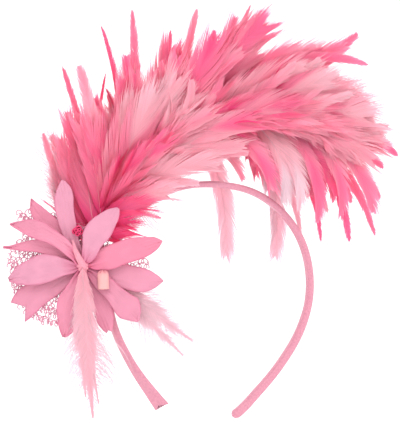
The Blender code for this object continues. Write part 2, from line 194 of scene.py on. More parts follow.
# Feathers whose tips lie behind this y look backwards
PLUME_MIDDLE_Y = 4
STEM_RINGS = 120

Lock = namedtuple("Lock", "tied x y z width bow tone end")
# tied is the share of the stem where the lock starts; x, y, z is its tip
# tone and end are the dye of its body and its tip: 0 deep pink, 1 peach, 1.5 nearly white
LOCKS = table(
    Lock,
    (0.03, -106, 8, 27, 15, -14, 0.80, 0.5),
    (0.04, -100, 10, 27, 20, -9, 1.00, 0.9),
    (0.08, -96, 8, 67, 14, -3, 0.25, 0.3),
    (0.13, -91, -8, 67, 24, -6, 0.70, 0.9),
    (0.19, -74, 5, 92, 15, 3, 0.30, 0.2),
    (0.06, -67, 14, 65, 8, -9, 0.20, 0.2),
    (0.26, -63, -10, 75, 14, -5, 0.25, 0.2),
    (0.29, -55, 6, 103, 18, -10, 0.35, 0.6),
    (0.34, -42, -14, 73, 18, -3, 0.60, 0.6),
    (0.34, -28, 12, 93, 13, -3, 0.30, 0.4),
    (0.38, -24, -17, 63, 17, 3, 1.05, 1.0),
    (0.40, -15, 3, 106, 19, -10, 0.50, 0.9),
    (0.43, -8, -10, 93, 17, -4, 0.20, 0.1),
    (0.46, 1, 18, 84, 18, -4, 0.50, 0.7),
    (0.46, 20, 5, 111, 12, -4, 0.45, 0.7),
    (0.46, 31, -9, 104, 24, -22, 0.35, 0.2),
    (0.50, 36, 12, 98, 22, -20, 0.45, 0.3),
    (0.54, 42, -18, 76, 20, -3, 0.85, 0.9),
    (0.58, 66, 12, 90, 18, -6, 0.35, 0.3),
    (0.56, 90, 3, 98, 26, 5, 0.25, 0.2),
    (0.62, 59, -14, 80, 18, -3, 1.05, 1.1),
    (0.60, 93, -8, 79, 20, -40, 0.45, 0.2),
    (0.68, 79, -19, 60, 20, -2, 1.05, 1.0),
    (0.70, 98, -9, 46, 24, -5, 1.05, 1.0),
    (0.74, 94, 14, 58, 18, -3, 0.80, 0.9),
    (0.72, 120, 2, 25, 24, -20, 0.35, 0.2),
    (0.72, 116, 14, 17, 22, -16, 0.45, 0.3),
    (0.78, 104, -10, -2, 20, -8, 0.60, 0.5),
    (0.80, 108, 4, -25, 15, -12, 0.45, 0.3),
    (0.80, 85, -10, -29, 16, -5, 0.30, 0.1),
    (0.76, 80, 14, -12, 13, -4, 1.10, 1.4),
    (0.74, 69, -4, -30, 15, -3, 0.25, 0.1),
    (0.68, 64, 16, -27, 14, -3, 1.15, 1.4),
    (0.715, 47.5, 17, -44, 13, 2.5, 1.10, 1.25),
    (0.57, 34, -7, 0, 13, -4, 0.20, 0.0),
    (0.53, 16, 17, -45, 13, 5.5, 1.10, 1.2),
    (0.32, 16, -12, 21, 15, 4, 0.85, 0.8),
    (0.21, -13, -9, 2, 17, 3, 1.00, 1.0),
    (0.17, -40, -10, -9, 15, 3, 0.55, 0.9),
    (0.13, -37, -11, -20, 8, 3, 0.20, 0.4),
)
# Single feathers that hang down, by their place in the table
HANGING = (33, 35)
# Locks that curl over to a rounded, frayed end
LOBED = (15, 16)
# The shorter feathers beside a lock: how many, and the spans that their tips and shapes are drawn from, as
# shares of the lock's length and width, and in depth
COMPANIONS = 6
COMPANION_TIP = (0.42, 0.72)
COMPANION_SIDE = (-0.45, 0.45)
COMPANION_DEPTH = (-6, 6)
COMPANION_BOW = (-4, 1)
COMPANION_HALF_WIDTH = (0.32, 0.46)
# Locks with loose pale barbs round them
WISPY = (0, 1, 39)

# Broad feathers in front of the locks, where the photo shows single ones
Broad = namedtuple("Broad", Lock._fields + ("shape",), defaults=("soft",))
BROAD = table(
    Broad,
    (0.10, -57, -14, 53, 22, -7, 1.00, 1.1),
    (0.14, -44, -17, 57, 26, -8, 1.10, 1.2),
    (0.19, -31, -15, 65, 24, -6, 1.00, 1.0),
    (0.18, -18, -13, 56, 20, -6, 0.90, 0.9),
    (0.16, -2, -14, 12, 20, -6, 0.95, 1.0),
    (0.20, 14, -13, 25, 18, -6, 0.90, 0.8),
    (0.12, -33, -13, -7, 18, -3, 0.95, 1.1),
    (0.10, -50, -14, -17, 14, -1, 0.10, 0.5),
    (0.08, -56, -9, -26, 13, 0, 0.00, 0.1),
    (0.11, -47, -14, -14, 14, 0, 0.05, 0.4),
    (0.06, -53, -8, -28, 14, 2, 0.05, 0.2),
    (0.02, -95, 9, -16, 18, 0, 0.20, 0.1),
    (0.04, -59, -7, -34, 14, 2, 0.00, 0.1),
    (0.05, -94, 3.5, 41, 17, -4, 0.35, 0.3),
    (0.04, -97, 4.5, 26, 17, -7, 0.40, 0.4),
    (0.03, -92, 4, 14, 18, -8, 0.00, 0.2),
    (0.16, -64, -10, 62, 18, -5, 0.20, 0.2),
    (0.20, -57, -11, 66, 18, -4, 0.25, 0.2),
    (0.26, -45, -12, 68, 19, -4, 0.25, 0.2),
    (0.30, -31, -12, 77, 20, -4, 0.25, 0.2),
    (0.36, -8, -11, 90, 24, -5, 0.20, 0.1),
    (0.42, 7, -6, 103, 19, -5, 0.35, 0.4),
    (0.46, 25, -5, 102, 21, -15, 0.35, 0.3, "lobe"),
    (0.46, 30, -6, 98, 21, -19, 0.35, 0.3, "lobe"),
    (0.30, -28, 8, 88, 20, -5, 0.45, 0.4, "blunt"),
    (0.46, 24, -8, 103, 19, -8, 0.40, 0.3, "blunt"),
    (0.48, 26, 4, 94, 19, -9, 0.45, 0.3, "blunt"),
    (0.40, 50, -5, 86, 22, -17, 0.40, 0.4),
    (0.46, 66, -4, 87, 22, -17, 0.40, 0.3),
    (0.50, 80, -3, 90, 22, -11, 0.40, 0.3),
    (0.44, 50, -15, 75, 22, -12, 1.10, 1.0),
    (0.60, 104, -12, 34, 24, -36, 1.05, 0.9),
    (0.64, 96, -14, 49, 24, -28, 1.05, 0.9),
    (0.82, 93, -17, 45, 26, -9, 1.00, 0.9),
    (0.72, 84, -14, 59, 24, -8, 1.00, 1.1),
    (0.56, 72, -16, 70, 22, -6, 1.05, 1.2),
    (0.52, 62, -13, 76, 20, -6, 0.95, 1.1),
    (0.40, 45, -17, 52, 22, -8, 1.00, 0.9),
    (0.32, 22, -15, 40, 22, -7, 0.90, 0.8),
    (0.46, 56, -15, 40, 20, -8, 0.35, 0.4),
    (0.58, 86, -16, 34, 22, -9, 0.60, 0.6),
    (0.66, 97, -15, 20, 22, -9, 0.70, 0.7),
    (0.58, 31, -14, -1, 15, -4, 0.15, 0.1),
    (0.72, 50, -13, -12, 14, -4, 1.35, 1.5),
    (0.70, 40, -12, -8, 13, -3, 1.30, 1.5),
    (0.80, 62, -14, -18, 12, -3, 0.20, 0.1),
    (0.90, 77, -14, -14, 12, -3, 0.35, 0.2),
    (0.94, 98, -14, -12, 13, -5, 0.40, 0.3),
)

# The short feathers that fill the plume, tied along this span of the stem
FILLING_COUNT = 205
FILLING_FROM, FILLING_SPAN = 0.02, 0.94
FILLING_HALF_WIDTH = (5, 8)
FILLING_BOW = (-7, -1)
# Up to this share of the stem the short feathers lie behind the petals: the filling about this y, and the
# feathers beside a lock this much further back
BESIDE_FLOWER = 0.11
BEHIND_PETALS = 6.5
COMPANION_BACK = 2

# How far each run of filling feathers leans off the stem, their lengths, and between which y their tips lie
FillingRun = namedtuple("FillingRun", "lean_from lean_to shortest longest front back")
FILLING_RUNS = table(
    FillingRun,
    (6, 44, 34, 56, -14, -6),
    (-26, -6, 24, 38, -13, -5),
    (6, 46, 34, 56, 5, 15),
    (-6, 14, 34, 50, -16, -11),
    (-10, 30, 30, 50, 6, 14),
)

Dye = namedtuple("Dye", "tone colour")
DYES = table(
    Dye,
    (-0.3, "#EE4380"),
    (0.0, "#F66098"),
    (0.5, "#F692B0"),
    (1.0, "#F6BCC9"),
    (1.5, "#EDD3DC"),
    (2.0, "#C4B2B8"),
)

# Where the plume is dyed deep or pale, and one place deepened as painted shade: each place has the tone at its
# middle and how far that tone spreads
Dyed = namedtuple("Dyed", "x z spread tone")
DYED_AND_SHADED = table(
    Dyed,
    (-108, 8, 12, 1.20),
    (-87, 24, 9, 0.45),
    (-83, 12, 8, 0.25),
    (-85, 42, 7, 0.75),
    (-77, 26, 7, 0.45),
    (-74, 50, 9, 0.20),
    (-65, 14, 9, -0.10),
    (-54, 66, 9, 0.20),
    (-62, 32, 9, 0.85),
    (-41, 49, 13, 1.05),
    (-36, 76, 11, 0.20),
    (-17, 83, 9, -0.05),
    (-13, 59, 12, 0.35),
    (5, 75, 12, 0.60),
    (19, 100, 12, 0.30),
    (-46, 21, 7, 0.10),
    (-20, 36, 9, 0.70),
    (2, 40, 8, -0.30),
    (5, 50, 9, 0.60),
    (30, 56, 7, -0.30),
    (41, 70, 10, 0.95),
    (62, 69, 12, 1.10),
    (28, 86, 9, 0.45),
    (46, 77, 8, 1.05),
    (66, 87, 9, 0.45),
    (84, 58, 12, 1.10),
    (97, 46, 9, 1.05),
    (58, 50, 9, 0.40),
    (49, 36, 11, 0.65),
    (108, 33, 9, 0.35),
    (79, 26, 10, 0.80),
    (66, 12, 8, 0.15),
    (84, 6, 8, 0.20),
    (74, -8, 10, 0.40),
    (98, 2, 10, 0.45),
    (42, 6, 7, 1.45),
    (24, 14, 6, 0.20),
    (7, 25, 9, 0.85),
    (-6, 12, 9, 1.00),
    (-32, 0, 16, 0.95),
    (-68, -4, 8, 0.30),
    (-45, 9, 6, 0.55),
    # Painted shade: the plume is deepened here, where it goes in behind the petals at the flower's upper right
    (-58, -22, 9, -0.35),
)

Share = namedtuple("Share", "along width")
# A hackle is broad near its root and draws out to a long narrow tip
HACKLE_OUTLINE = table(
    Share,
    (0.00, 0.50), (0.10, 0.85), (0.25, 1.00), (0.42, 0.82), (0.54, 0.60), (0.68, 0.47), (0.84, 0.38),
    (0.94, 0.22), (1.00, 0.02),
)
SOFT_OUTLINE = table(
    Share,
    (0.00, 0.40), (0.12, 0.80), (0.32, 1.00), (0.52, 0.92), (0.70, 0.66), (0.84, 0.38), (0.94, 0.16),
    (1.00, 0.02),
)
BLUNT_OUTLINE = table(
    Share,
    (0.00, 0.40), (0.14, 0.80), (0.36, 1.00), (0.64, 0.96), (0.82, 0.74), (0.93, 0.46), (1.00, 0.12),
)
LOBE_OUTLINE = table(
    Share,
    (0.00, 0.30), (0.30, 0.70), (0.60, 0.95), (0.80, 1.00), (0.92, 0.85), (1.00, 0.45),
)
WISP_OUTLINE = table(
    Share,
    (0.00, 0.30), (0.20, 0.85), (0.50, 1.00), (0.80, 0.60), (1.00, 0.15),
)
CORE_OUTLINE = table(
    Share,
    (0.00, 0.30), (0.12, 0.85), (0.25, 1.00), (0.42, 0.95), (0.52, 0.60), (0.60, 0.30), (0.68, 0.50),
    (0.76, 0.22), (0.88, 0.12), (1.00, 0.05),
)
FLUFF_OUTLINE = table(
    Share,
    (0.00, 0.40), (0.20, 0.95), (0.45, 1.00), (0.65, 0.60), (0.80, 0.30), (1.00, 0.12),
)
HALO_OUTLINE = table(
    Share,
    (0.00, 0.05), (0.36, 0.40), (0.46, 0.95), (0.68, 1.00), (0.78, 0.35), (1.00, 0.16),
)

# How far the net reaches to the left and right at each height over the flower's middle
NetEdge = namedtuple("NetEdge", "up left right")
NET_EDGE = table(
    NetEdge,
    (-35, 23, -14),
    (-30, 33, -6),
    (-24, 37, 10),
    (-16, 41, 20),
    (-8, 44, 27),
    (-3, 44, 36),
    (2, 44, 41),
    (7, 43, 30),
    (16, 36, 14),
    (22, 38, 0),
    (26, 41, -12),
    (32, 40, -18),
)
# How far apart the loops of a row stand, how far apart the rows, and how far a loop reaches sideways and up
NET_PITCH = 2.5
NET_ROW = 0.9 * NET_PITCH
LOOP_SIDE, LOOP_RISE = 1.15, 1.45
LOOP_POINTS = 14
THREAD = 0.6


class BandSettings(bpy.types.PropertyGroup):
    steps: IntProperty(name="Steps", description="Sections along the band", default=220, min=40)


class FlowerSettings(bpy.types.PropertyGroup):
    cloth: FloatProperty(name="Cloth", description="Thickness of a petal", default=CLOTH * MM, unit="LENGTH")
    rows: IntProperty(name="Rows", description="Rows of faces along a petal", default=36, min=8)


class PlumeSettings(bpy.types.PropertyGroup):
    seed: IntProperty(name="Seed", description="Start of the random draws", default=7)


class StageSettings(bpy.types.PropertyGroup):
    floor_drop: FloatProperty(name="Floor", description="Height of the floor", default=-0.2, unit="LENGTH")


def linear(hex_colour):
    """A hex sRGB colour as linear red, green and blue."""
    parts = [int(hex_colour[i : i + 2], 16) / 255 for i in (1, 3, 5)]
    return tuple(c / 12.92 if c <= 0.04045 else ((c + 0.055) / 1.055) ** 2.4 for c in parts)


def add_node(tree, kind, links=None, **settings):
    """Adds a shader node, sets its properties or inputs by name, and links its inputs from other sockets."""
    node = tree.nodes.new(kind)
    for key, value in settings.items():
        if hasattr(node, key):
            setattr(node, key, value)
        else:
            node.inputs[key.replace("_", " ")].default_value = value
    for name, source in (links or {}).items():
        tree.links.new(source, node.inputs[name])
    return node


def new_material(name, roughness, specular=0.5):
    material = bpy.data.materials.new(name)
    material.use_nodes = True
    tree = material.node_tree
    shader = tree.nodes["Principled BSDF"]
    shader.inputs["Roughness"].default_value = roughness
    shader.inputs["Specular IOR Level"].default_value = specular
    return material, tree, shader


def add_ramp(tree, shader, source, tones, places=(0, 1)):
    """Colours a shader between two tones, by how high the source is."""
    ramp = add_node(tree, "ShaderNodeValToRGB", {"Fac": source})
    for element, tone, place in zip(ramp.color_ramp.elements, tones, places):
        element.color = (*linear(tone), 1)
        element.position = place
    tree.links.new(ramp.outputs["Color"], shader.inputs["Base Color"])


def add_relief(tree, shader, source, strength, depth):
    """Fine relief on a shader that rises with the source, depth metres high."""
    bump = add_node(tree, "ShaderNodeBump", {"Height": source}, Strength=strength, Distance=depth)
    tree.links.new(bump.outputs["Normal"], shader.inputs["Normal"])


def add_noise(tree, scale, detail=2.0):
    """Noise fixed to the object, as the socket that gives its height."""
    place = add_node(tree, "ShaderNodeTexCoord").outputs["Object"]
    return add_node(tree, "ShaderNodeTexNoise", {"Vector": place}, Scale=scale, Detail=detail).outputs["Fac"]


def paint(mesh, dyes):
    """Gives each vertex of a mesh its colour, which the feather and petal materials read: dye, with painted
    shade where a table or constant adds it.
    """
    rgba = np.ones((len(dyes), 4), np.float32)
    rgba[:, :3] = np.clip(dyes, 0, 1)
    mesh.color_attributes.new("dye", "FLOAT_COLOR", "POINT").data.foreach_set("color", rgba.ravel())


def smooth_between(rows, at):
    """The value at one place in a table of (place, value) rows, eased so that its slope has no break."""
    last = len(rows) - 2
    index = max(i for i in range(last + 1) if rows[i][0] <= at or i == 0)
    (x0, y0), (x1, y1) = rows[index], rows[index + 1]
    before, after = rows[max(index - 1, 0)], rows[min(index + 2, last + 1)]
    slope0 = 0.0 if index == 0 else (y1 - before[1]) / (x1 - before[0])
    slope1 = (after[1] - y0) / (after[0] - x0)
    span = x1 - x0
    t = (at - x0) / span
    return (
        y0 * (1 + 2 * t) * (1 - t) ** 2
        + slope0 * span * t * (1 - t) ** 2
        + y1 * t * t * (3 - 2 * t)
        + slope1 * span * t * t * (t - 1)
    )


def settle(name, mesh, material, node):
    """Links a mesh that is already in place, and hides the node that it stands for."""
    mesh.materials.clear()
    mesh.materials.append(material)
    piece = bpy.data.objects.new(name, mesh)
    bpy.context.scene.collection.objects.link(piece)
    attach(piece, BODY)
    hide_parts(node)
    return piece


def thicken(piece, thickness):
    """Gives a sheet its thickness in metres, half to each side."""
    thick = piece.modifiers.new("cloth", "SOLIDIFY")
    thick.thickness = thickness
    thick.offset = 0.0


def mesh_from(name, bm):
    """Turns a bmesh in millimetres into a smooth mesh in metres."""
    bmesh.ops.scale(bm, vec=(MM, MM, MM), verts=bm.verts)
    mesh = bpy.data.meshes.new(name)
    bm.to_mesh(mesh)
    bm.free()
    mesh.shade_smooth()
    return mesh


def band_point(turn):
    reach = smooth_between(BAND_REACH, abs(turn))
    angle = math.radians(turn)
    return BAND_CENTRE + Vector((reach * math.sin(angle), 0, reach * math.cos(angle)))


def flower_origin():
    arm = band_point(-90)
    seat = np.array((arm.x, -STRIP_WIDTH / 2, FLOWER_HEIGHT)) + FLOWER_OUT * GAP
    return seat - FLOWER_RIGHT * FLOWER_FROM_ARM


FLOWER_ORIGIN = flower_origin()


def flower_place(right, up, out):
    """Points given in the flower's own directions, as arrays or single numbers."""
    right, up, out = np.broadcast_arrays(right, up, out)
    return (
        FLOWER_ORIGIN
        + right[..., None] * FLOWER_RIGHT
        + up[..., None] * UP
        + out[..., None] * FLOWER_OUT
    )


def stem_heading(share):
    return np.radians(STEM_HEADING - STEM_SWEEP * share)


def stem_point(share):
    start, here = stem_heading(0), stem_heading(share)
    return STEM_START + STEM_ARC_RADIUS * np.array(
        (math.sin(start) - math.sin(here), 0, math.cos(here) - math.cos(start))
    )


def stem_along(share):
    here = stem_heading(share)
    return np.array((math.cos(here), 0, math.sin(here)))


def unit(vectors):
    return vectors / np.maximum(np.linalg.norm(vectors, axis=-1, keepdims=True), 1e-9)


class Feathers:
    """Collects the barbs and quills of many feathers as arrays, and makes them one mesh."""

    def __init__(self):
        self.points, self.faces, self.dyes, self.count = [], [], [], 0

    def add(self, points, quads, dye):
        self.points.append(points.reshape(-1, 3))
        self.faces.append(quads.reshape(-1, 4) + self.count)
        self.dyes.append(dye.reshape(-1, 3))
        self.count += points.reshape(-1, 3).shape[0]

    def mesh(self, name):
        points = np.concatenate(self.points) * MM
        faces = np.concatenate(self.faces)
        mesh = bpy.data.meshes.new(name)
        mesh.vertices.add(len(points))
        mesh.vertices.foreach_set("co", points.astype(np.float32).ravel())
        mesh.loops.add(faces.size)
        mesh.loops.foreach_set("vertex_index", faces.astype(np.int32).ravel())
        mesh.polygons.add(len(faces))
        mesh.polygons.foreach_set("loop_start", np.arange(0, faces.size, 4, dtype=np.int32))
        paint(mesh, np.concatenate(self.dyes))
        mesh.update(calc_edges=True)
        mesh.shade_smooth()
        return mesh

    def settle(self, name, material, node, slot):
        return settle(name, self.mesh(name), material, node)


Vane = namedtuple(
    "Vane",
    "outline half_width spacing open_angle shut_angle bend strip clump stray cup curl fray sections bare",
)
# The longest barb, as a multiple of the vane's half width, and the least reach of any
LONGEST_BARB = 2.6
SHORTEST_BARB = 0.1
# Some barbs stray out of the vane, longer and thinner than the others; the rest cling together in clumps
ASTRAY_SHARE = 0.05
ASTRAY_REACH = 1.3
ASTRAY_WIDTH = 0.5
BARBS_IN_CLUMP = 11
FEWEST_BARBS = 12
# How unevenly the clumps reach and open, and how much single barbs differ in angle and shade
CLUMP_UNEVEN = 0.07
OPENING_UNEVEN = 0.05
BARB_UNEVEN = 0.03
# How much deeper the colour is made at a feather's root: painted shade where the feathers crowd together at
# the stem
PAINTED_ROOT_SHADE = 0.25
# A feather's curve is this much longer than the straight line between its ends
CURVE_LENGTH = 1.04
QUILL_RINGS = 13
QUILL_SIDES = 4
QUILL_TIP = 0.12
THIRDS = (0, 0.4, 0.75, 1)
SIXTHS = (0, 0.17, 0.34, 0.5, 0.67, 0.84, 1)
# A feather's own tone at its root and tip, how much it counts against the tone of its place in the plume, and
# how much is added to it at the ends of the barbs
Coat = namedtuple("Coat", "tone end own fade", defaults=(0.25,))
HACKLE = Vane(HACKLE_OUTLINE, 6.4, 0.55, 46, 27, 0.35, 0.27, 0.20, 0.4, 0.10, 0.0, 0.09, THIRDS, 0.03)
SOFT = Vane(SOFT_OUTLINE, 7.0, 0.62, 38, 14, 0.32, 0.30, 0.16, 0.45, 0.10, 0.2, 0.24, THIRDS, 0.02)
BLUNT = Vane(BLUNT_OUTLINE, 8.0, 0.62, 40, 20, 0.30, 0.33, 0.18, 0.45, 0.10, 0.2, 0.12, THIRDS, 0.02)
LOBE = Vane(LOBE_OUTLINE, 8.0, 0.55, 44, 34, 0.55, 0.32, 0.25, 0.5, 0.10, 0.2, 0.10, SIXTHS, 0.02)
WISP = Vane(WISP_OUTLINE, 13.0, 0.85, 78, 44, 0.35, 0.14, 0.25, 1.6, 0.00, 0.7, 0.25, SIXTHS, 0.04)
CORE = Vane(CORE_OUTLINE, 7.0, 0.40, 50, 24, 0.35, 0.30, 0.16, 0.3, 0.05, 0.3, 0.22, THIRDS, 0.01)
HALO = Vane(HALO_OUTLINE, 14.0, 0.70, 84, 58, 0.45, 0.12, 0.16, 2.0, 0.00, 1.5, 0.38, SIXTHS, 0.02)
BROAD_VANES = {"soft": SOFT, "blunt": BLUNT, "lobe": LOBE}


def add_tube(feathers, line, across, normal, radius, sides, dye, fold=None):
    """A tube round a line, all of one colour. fold gives a share of the radius at each turn round it."""
    rings = []
    for turn in np.arange(sides) * 2 * math.pi / sides:
        size = radius * fold(turn) if fold else radius
        rings.append(line + (across * math.cos(turn) + normal * math.sin(turn)) * size)
    rings = np.stack(rings, axis=1)
    base = np.arange(len(line) - 1)[:, None] * sides
    side = np.arange(sides)[None, :]
    after = (side + 1) % sides
    quads = np.stack([base + side, base + after, base + sides + after, base + sides + side], axis=-1)
    feathers.add(rings, quads, np.broadcast_to(dye, rings.shape))


def beside(line, away):
    """At each point of a line, the way across it that is square to away, and the way square to both."""
    along = unit(np.gradient(line, axis=0))
    across = unit(np.cross(along, away))
    return across, np.cross(across, along)


def add_feather(feathers, rng, curve, face, vane, coat, quill_radius=0.3):
    """One feather along a quadratic curve. face is the way its front looks."""
    root, control, tip = curve
    last = vane.outline[-2]
    lean = math.radians(vane.shut_angle * (1 - vane.bend / 2))
    length = np.linalg.norm(tip - root)
    past = vane.half_width * last.width / math.tan(lean) - (1 - last.along) * length
    tip = tip - unit(tip - control) * max(past, 0)
    length = np.linalg.norm(tip - root) * CURVE_LENGTH
    count = max(int(length * (1 - vane.bare) / vane.spacing), FEWEST_BARBS)

    def at(t):
        t = t[:, None]
        place = root * (1 - t) ** 2 + control * 2 * t * (1 - t) + tip * t * t
        along = unit((control - root) * (1 - t) + (tip - control) * t)
        across = unit(np.cross(along, face))
        return place, along, across, np.cross(across, along)

    place, along, across, normal = at(np.linspace(0, 1, QUILL_RINGS))
    taper = np.linspace(1.0, QUILL_TIP, QUILL_RINGS)[:, None] * quill_radius
    add_tube(feathers, place, across, normal, taper, QUILL_SIDES, dye_at(coat.tone))
    outline = np.array(vane.outline)
    for side in (-1.0, 1.0):
        t = vane.bare + (1 - vane.bare) * (np.arange(count) + rng.random(count) * 0.5) / count
        place, along, across, normal = at(t)
        bounds = np.sort(rng.random(max(count // BARBS_IN_CLUMP, 2)))
        group = np.searchsorted(bounds, t)
        groups = len(bounds) + 1
        middle = np.array([t[group == g].mean() if (group == g).any() else 0 for g in range(groups)])
        loose = np.clip(1.25 - t, 0.25, 1)
        reach = np.interp(t, outline[:, 0], outline[:, 1]) * vane.half_width
        uneven = 1 + CLUMP_UNEVEN * rng.standard_normal(groups)[group]
        uneven = uneven + vane.fray * (0.4 + 0.9 * t * t) * rng.standard_normal(count)
        astray = rng.random(count) < ASTRAY_SHARE
        reach = np.maximum(reach * uneven, 0) * np.where(astray, ASTRAY_REACH, 1.0) + SHORTEST_BARB
        uneven = 1 + OPENING_UNEVEN * rng.standard_normal(groups)[group]
        uneven = uneven + BARB_UNEVEN * rng.standard_normal(count)
        angle = np.radians(vane.open_angle + (vane.shut_angle - vane.open_angle) * t) * uneven
        barb = reach / np.sin(angle * (1 - 0.5 * vane.bend))
        barb = np.minimum(barb, LONGEST_BARB * vane.half_width)
        pull = (middle[group] - t) * length * vane.clump * loose
        lift = (rng.standard_normal(groups) * vane.stray)[group]
        lift = (lift + rng.standard_normal(count) * vane.stray * 0.3) * loose
        wave = rng.uniform(0, 6.28, count)
        shade = 1 + BARB_UNEVEN * (rng.standard_normal(groups)[group] + rng.standard_normal(count))
        tone = coat.own * (coat.tone + (coat.end - coat.tone) * np.minimum(1, t * 1.5))
        # Painted shade: the tone deepens over the first third of each feather, towards the crowded stem
        tone = tone + (1 - coat.own) * tone_by_place(place) - PAINTED_ROOT_SHADE * np.maximum(0, 1 - 3 * t)
        width = vane.strip * np.where(astray, ASTRAY_WIDTH, 1.0)
        strips, colours = [], []
        for q in vane.sections:
            turn = angle * (1 - vane.bend * q)
            way = along * np.cos(turn)[:, None] + across * (side * np.sin(turn))[:, None]
            spot = place + way * (barb * q)[:, None]
            spot = spot + along * (pull * q * q + vane.curl * q * np.sin(wave + 4 * q))[:, None]
            spot = spot + normal * (lift * q * q - vane.cup * reach * q * q)[:, None]
            half = width * (1 - q**2.4) + 0.03
            over = np.cross(normal, way) + normal * 0.25
            strips.append(np.stack([spot - over * half[:, None], spot + over * half[:, None]], axis=1))
            tint = dye_at(tone + coat.fade * q * q) * shade[:, None]
            colours.append(np.stack([tint, tint], axis=1))
        sections = len(vane.sections)
        corner = np.arange(count)[:, None] * sections * 2 + np.arange(sections - 1)[None, :] * 2
        quads = np.stack([corner, corner + 1, corner + 3, corner + 2], axis=-1)
        feathers.add(np.stack(strips, axis=1), quads, np.stack(colours, axis=1))


def dye_at(tone):
    """The dye of a tone, or of an array of tones, as linear red, green and blue."""
    tones = [row.tone for row in DYES]
    colours = np.array([linear(row.colour) for row in DYES])
    return np.stack([np.interp(tone, tones, colours[:, channel]) for channel in range(3)], axis=-1)


def tone_by_place(points):
    """The tone that the plume's dyed places, and its one place of painted shade, give at some points."""
    tone_places = np.array(DYED_AND_SHADED)
    gap = (points[:, None, 0] - tone_places[:, 0]) ** 2 + (points[:, None, 2] - tone_places[:, 1]) ** 2
    weight = (0.25 + gap / tone_places[:, 2] ** 2) ** -2
    return (weight * tone_places[:, 3]).sum(axis=1) / weight.sum(axis=1)


def lock_curve(root, tied, tip, bow):
    chord = tip - root
    length = np.linalg.norm(chord)
    sideways = unit(np.cross(FRONT, chord))
    leave = unit(chord / length + stem_along(tied) * 0.5)
    control = root + leave * length * 0.5 - sideways * bow
    control[1] = tip[1]
    return root, control, tip


def facing(y, rng, tilt=0.3):
    """The way a feather's flat side looks: out of the side of the plume that it is on."""
    side = FRONT if y < PLUME_MIDDLE_Y else -FRONT
    return unit(side + tilt * np.array((rng.standard_normal(), 0, rng.standard_normal())))


def coated(tone, end, own, rng):
    """A feather's coat, each feather a little off its lock's dye."""
    off = 0.07 * rng.standard_normal()
    return Coat(tone + off, end + off, own)


def add_lock(feathers, rng, number):
    """A lock's longest feather, to its tip, and the shorter ones beside it."""
    lock = LOCKS[number]
    tip = np.array((lock.x, lock.y, lock.z), float)
    for k in range(1 if number in HANGING else 1 + COMPANIONS):
        tied = float(np.clip(lock.tied + (0.03 * rng.standard_normal() if k else 0), 0.02, 0.98))
        root = stem_point(tied)
        root[1] += 1.5 * rng.standard_normal()
        end, bow, coat = tip, lock.bow, coated(lock.tone, lock.end, 0.7, rng)
        vane = HACKLE._replace(half_width=0.4 * lock.width)
        if number in HANGING:
            vane, coat = BLUNT._replace(half_width=7.0, fray=0.2), Coat(lock.tone, lock.end, 1.0)
        if number in LOBED:
            vane = LOBE._replace(half_width=0.4 * lock.width)
        if k:
            end = root + (tip - root) * rng.uniform(*COMPANION_TIP)
            end = end + unit(np.cross(FRONT, tip - root)) * rng.uniform(*COMPANION_SIDE) * lock.width
            end[1] += rng.uniform(*COMPANION_DEPTH)
            if lock.tied < BESIDE_FLOWER:
                end[1] = max(end[1], BEHIND_PETALS + COMPANION_BACK)
            bow = 0.7 * lock.bow + rng.uniform(*COMPANION_BOW)
            vane = SOFT._replace(half_width=lock.width * rng.uniform(*COMPANION_HALF_WIDTH))
            coat = coated(lock.tone, lock.tone, 0.1, rng)
        curve = lock_curve(root, tied, end, bow)
        face = facing(end[1], rng)
        add_feather(feathers, rng, curve, face, vane, coat)
        if number in WISPY and k < 2:
            add_feather(feathers, rng, curve, face, WISP, Coat(1.3, 1.4, 1.0, 0.6), 0.1)


def add_broad(feathers, rng, broad):
    """One broad feather that lies over the locks."""
    root = stem_point(broad.tied)
    tip = np.array((broad.x, broad.y, broad.z), float)
    curve = lock_curve(root, broad.tied, tip, broad.bow)
    vane = BROAD_VANES[broad.shape]._replace(half_width=broad.width / 2, spacing=0.6)
    face = facing(broad.y, rng, 0.15)
    add_feather(feathers, rng, curve, face, vane, coated(broad.tone, broad.end, 0.45, rng))


def add_filling(feathers, rng):
    """Shorter feathers all along the stem, which hide it and close the gaps between the locks."""
    for number in range(FILLING_COUNT):
        share = (number + rng.random()) / FILLING_COUNT * FILLING_SPAN + FILLING_FROM
        run = FILLING_RUNS[number % len(FILLING_RUNS)]
        heading = float(stem_heading(share)) + math.radians(rng.uniform(run.lean_from, run.lean_to))
        root = stem_point(share)
        length = rng.uniform(run.shortest, run.longest) * min(1.0, 1.75 - share)
        tip = root + length * np.array((math.cos(heading), 0, math.sin(heading)))
        tip[1] = rng.uniform(run.front, run.back)
        if share < BESIDE_FLOWER:
            tip[1] = BEHIND_PETALS + 0.1 * tip[1]
        vane = SOFT._replace(half_width=rng.uniform(*FILLING_HALF_WIDTH))
        curve = lock_curve(root, share, tip, rng.uniform(*FILLING_BOW))
        add_feather(feathers, rng, curve, facing(tip[1], rng, 0.4), vane, coated(0, 0, 0.0, rng))


def add_stem(feathers):
    """The wire that the feathers are tied to, bound with thread."""
    shares = np.linspace(0, 1, STEM_RINGS)
    line = np.array([stem_point(share) for share in shares])
    along = np.array([stem_along(share) for share in shares])
    across = np.broadcast_to(FRONT, line.shape)
    radius = STEM_RADIUS + 0.15 * np.cos(np.arange(STEM_RINGS) * 2.2)
    radius = radius * np.minimum(1, (1.02 - shares) / 0.05)
    add_tube(feathers, line, across, np.cross(across, along), radius[:, None], 8, dye_at(0.3))


